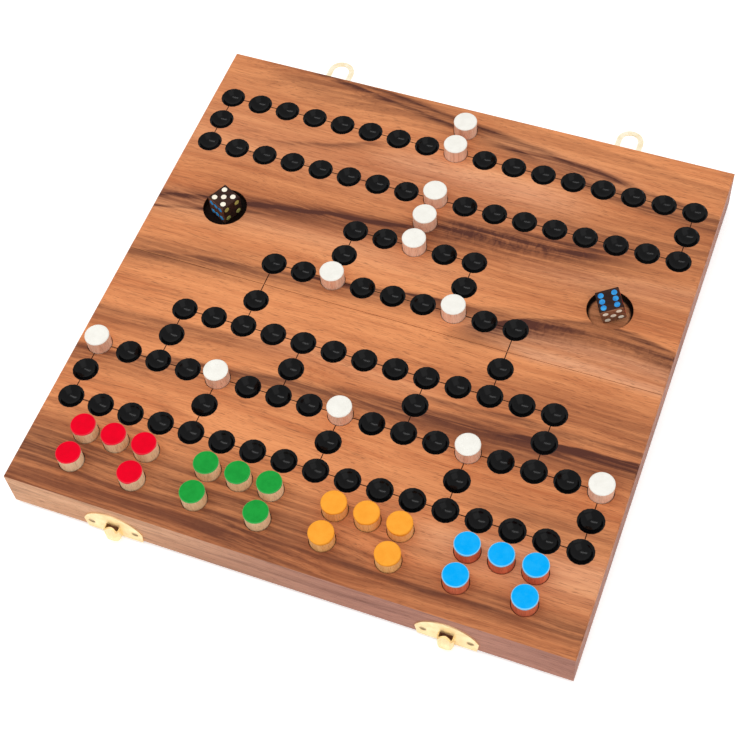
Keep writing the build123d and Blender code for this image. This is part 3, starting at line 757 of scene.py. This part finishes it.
def pip_domes(name, turn, faces):
    """Painted pips on a die, as shallow domes that stand a hair proud.

    Each dome is a profile (radius, rise) carried round the pip's centre in the plane of its face.
    faces lists each face as its count, its outward axis, its own x axis and its paint.
    """
    low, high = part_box(name)
    centre = np.array((low + high) / 2)
    half = DIE_EDGE / 2
    angle = np.linspace(0, 2 * np.pi, 20, endpoint=False)
    profile = np.array([(1.54, -0.05), (1.5, 0.03), (1.26, 0.07), (0.6, 0.09)])
    spots = pip_spots()
    for count, outward, across, coat in faces:
        outward, across = np.array(outward, float), np.array(across, float)
        third = np.cross(outward, across)
        place_at = np.array(spots[count], float) * PIP_SPACING
        middle = place_at[:, :1] * across + place_at[:, 1:] * third + outward * half
        ring = (across[None, :] * np.cos(angle)[:, None] + third[None, :] * np.sin(angle)[:, None])
        local = (middle[:, None, None] + profile[None, :, None, :1] * ring[None, None]
                 + profile[None, :, None, 1:] * outward)
        points = centre + (local * MM) @ turn.T
        grid_surface(f"{name}_pips_{count}", points, name, coat, close_end=True)


PIP_SPACING = 3.5
PIP_WHITE = paint("white_pips", srgb(252, 244, 226), srgb(236, 222, 200))
PIP_BLUE = paint("blue_pips", srgb(70, 172, 235), srgb(24, 100, 180), amount=0.7)
PIP_YELLOW = paint("yellow_pips", srgb(176, 170, 96), srgb(120, 116, 66))
PIP_RED = paint("red_pips", srgb(190, 40, 40), srgb(140, 30, 30))
PIP_GREEN = paint("green_pips", srgb(60, 140, 80), srgb(34, 96, 54))
LEFT_FACES = [
    (5, (0, 0, 1), (1, 0, 0), PIP_WHITE), (6, (0, -1, 0), (0, 0, 1), PIP_BLUE),
    (4, (1, 0, 0), (0, 1, 0), PIP_YELLOW), (3, (-1, 0, 0), (0, 1, 0), PIP_RED),
    (1, (0, 1, 0), (1, 0, 0), PIP_WHITE), (2, (0, 0, -1), (1, 0, 0), PIP_GREEN),
]
RIGHT_FACES = [
    (6, (0, 0, 1), (1, 0, 0), PIP_BLUE), (5, (0, -1, 0), (1, 0, 0), PIP_WHITE),
    (3, (1, 0, 0), (0, 1, 0), PIP_RED), (4, (-1, 0, 0), (0, 1, 0), PIP_YELLOW),
    (2, (0, 1, 0), (1, 0, 0), PIP_GREEN), (1, (0, 0, -1), (1, 0, 0), PIP_WHITE),
]
pip_domes("die_left", DIE_TURNS["die_left"], LEFT_FACES)
pip_domes("die_right", DIE_TURNS["die_right"], RIGHT_FACES)


# Floor, light and camera

def background_rays(tree):
    """1 where the camera, a reflection or clear glass looks at the background, and 0 elsewhere."""
    path = tree.nodes.new("ShaderNodeLightPath").outputs
    seen = calc(tree, "MAXIMUM", path["Is Camera Ray"], path["Is Glossy Ray"])
    return calc(tree, "MAXIMUM", seen, path["Is Transmission Ray"])


def floor_material():
    """Pale studio floor, shown white except close under the object, where it keeps the shadow.

    From below it is clear, so that the underside can be looked at.
    """
    material, tree, shader, _ = new_material("studio_floor", 0.9)
    shader.inputs["Base Color"].default_value = (0.95, 0.95, 0.95, 1)
    shader.inputs["Specular IOR Level"].default_value = 0.0
    shader.inputs["Emission Color"].default_value = (1, 1, 1, 1)
    camera = tree.nodes.new("ShaderNodeLightPath").outputs["Is Camera Ray"]
    glow = calc(tree, "MULTIPLY_ADD", camera, 0.16, calc(tree, "MULTIPLY", background_rays(tree), 0.25))
    tree.links.new(glow, shader.inputs["Emission Strength"])
    below = tree.nodes.new("ShaderNodeNewGeometry").outputs["Backfacing"]
    tree.links.new(calc(tree, "SUBTRACT", 1.0, below), shader.inputs["Alpha"])
    return material


# The camera at the photograph's angle: its place in metres, and its own right and up directions
CAMERA_PLACE = (0.194819, -0.426140, 0.709310)
CAMERA_RIGHT = Vector((0.933404, 0.353113, -0.063779))
CAMERA_UP = Vector((-0.268112, 0.804456, 0.530062))
CAMERA_LENS, SENSOR_WIDTH = 78.126, 36.0
FLOOR_REACH = 6.0
# Name, place, width and height in metres, power in watts, and roll in degrees
LAMPS = [
    ("key_lamp", (-0.45, -0.15, 1.36), 0.18, 1.4, 5.4, -22),
    ("fill_lamp", (0.9, -0.9, 1.3), 1.4, 1.4, 5.0, 0),
]


def studio():
    """Floor plane, two plain lamps, white world and the camera at the photograph's angle."""
    mesh = bpy.data.meshes.new("studio_floor")
    corners = [(-1, -1), (1, -1), (1, 1), (-1, 1)]
    mesh.from_pydata([(x * FLOOR_REACH, y * FLOOR_REACH, 0) for x, y in corners], [], [(0, 1, 2, 3)])
    mesh.materials.append(floor_material())
    floor = bpy.data.objects.new("studio_floor", mesh)
    bpy.context.scene.collection.objects.link(floor)

    for name, place_at, width, height, power, roll in LAMPS:
        lamp = bpy.data.lights.new(name, "AREA")
        lamp.shape, lamp.size, lamp.size_y, lamp.energy = "RECTANGLE", width, height, power
        holder = bpy.data.objects.new(name, lamp)
        holder.location = place_at
        aim = (-Vector(place_at)).to_track_quat("-Z", "Y").to_matrix()
        holder.rotation_euler = (aim @ Matrix.Rotation(np.radians(roll), 3, "Z")).to_euler()
        bpy.context.scene.collection.objects.link(holder)

    world = bpy.data.worlds.new("white_studio")
    bpy.context.scene.world = world
    world.use_nodes = True
    tree = world.node_tree
    background = tree.nodes["Background"]
    background.inputs["Color"].default_value = (1, 1, 1, 1)
    strength = calc(tree, "MULTIPLY_ADD", background_rays(tree), 0.24, 0.76)
    tree.links.new(strength, background.inputs["Strength"])

    camera = bpy.data.cameras.new("camera")
    camera.sensor_width = SENSOR_WIDTH
    camera.lens = CAMERA_LENS
    camera.clip_end = 50.0
    back = CAMERA_RIGHT.cross(CAMERA_UP)
    holder = bpy.data.objects.new("camera", camera)
    holder.matrix_world = Matrix((*zip(CAMERA_RIGHT, CAMERA_UP, back, CAMERA_PLACE), (0, 0, 0, 1)))
    bpy.context.scene.collection.objects.link(holder)
    bpy.context.scene.camera = holder
    bpy.context.scene.view_settings.view_transform = "Standard"


studio()
